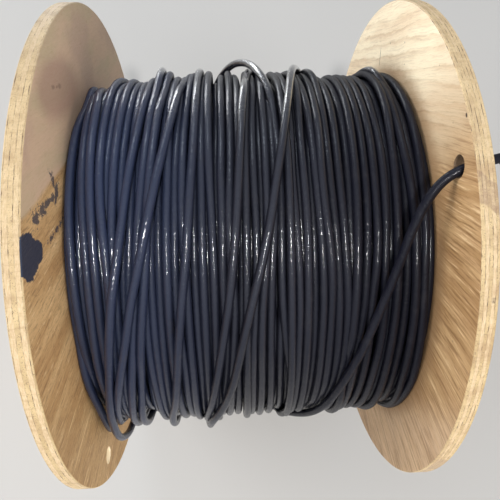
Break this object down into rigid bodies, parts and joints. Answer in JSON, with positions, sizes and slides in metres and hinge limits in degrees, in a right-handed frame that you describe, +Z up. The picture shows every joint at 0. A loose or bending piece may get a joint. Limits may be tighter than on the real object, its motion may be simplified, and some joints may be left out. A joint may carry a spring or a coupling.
{
  "type": "wooden cable drum",
  "caption": "Small plywood cable drum wound full with black round cable, its free end led out through a hole in one flange.",
  "frame": {"origin": "on the floor under the middle of the drum, as it lies on its two flange rims, measured without the free cable end", "axes": "+X along the drum's axis towards the flange that the free end leaves through, +Y away from the viewer, +Z up"},
  "size_m": [0.3805, 0.4569, 0.457],
  "materials": {
    "plywood": "raw sanded softwood plywood",
    "paperboard": "plain wound paperboard",
    "cable_jacket": "satin black jacket",
    "zinc_steel": "bright zinc plate"
  },
  "bodies": {
    "root": {"left_flange": "plywood", "right_flange": "plywood", "barrel": "paperboard", "winding": "cable_jacket", "cable_tail": "cable_jacket", "tie_rod_1": "zinc_steel", "tie_rod_2": "zinc_steel", "tie_rod_3": "zinc_steel", "tie_rod_4": "zinc_steel", "left_washer_1": "zinc_steel", "left_washer_2": "zinc_steel", "left_washer_3": "zinc_steel", "left_washer_4": "zinc_steel", "right_washer_1": "zinc_steel", "right_washer_2": "zinc_steel", "right_washer_3": "zinc_steel", "right_washer_4": "zinc_steel", "left_nut_1": "zinc_steel", "left_nut_2": "zinc_steel", "left_nut_3": "zinc_steel", "left_nut_4": "zinc_steel", "right_nut_1": "zinc_steel", "right_nut_2": "zinc_steel", "right_nut_3": "zinc_steel", "right_nut_4": "zinc_steel"}
  },
  "joints": []
}
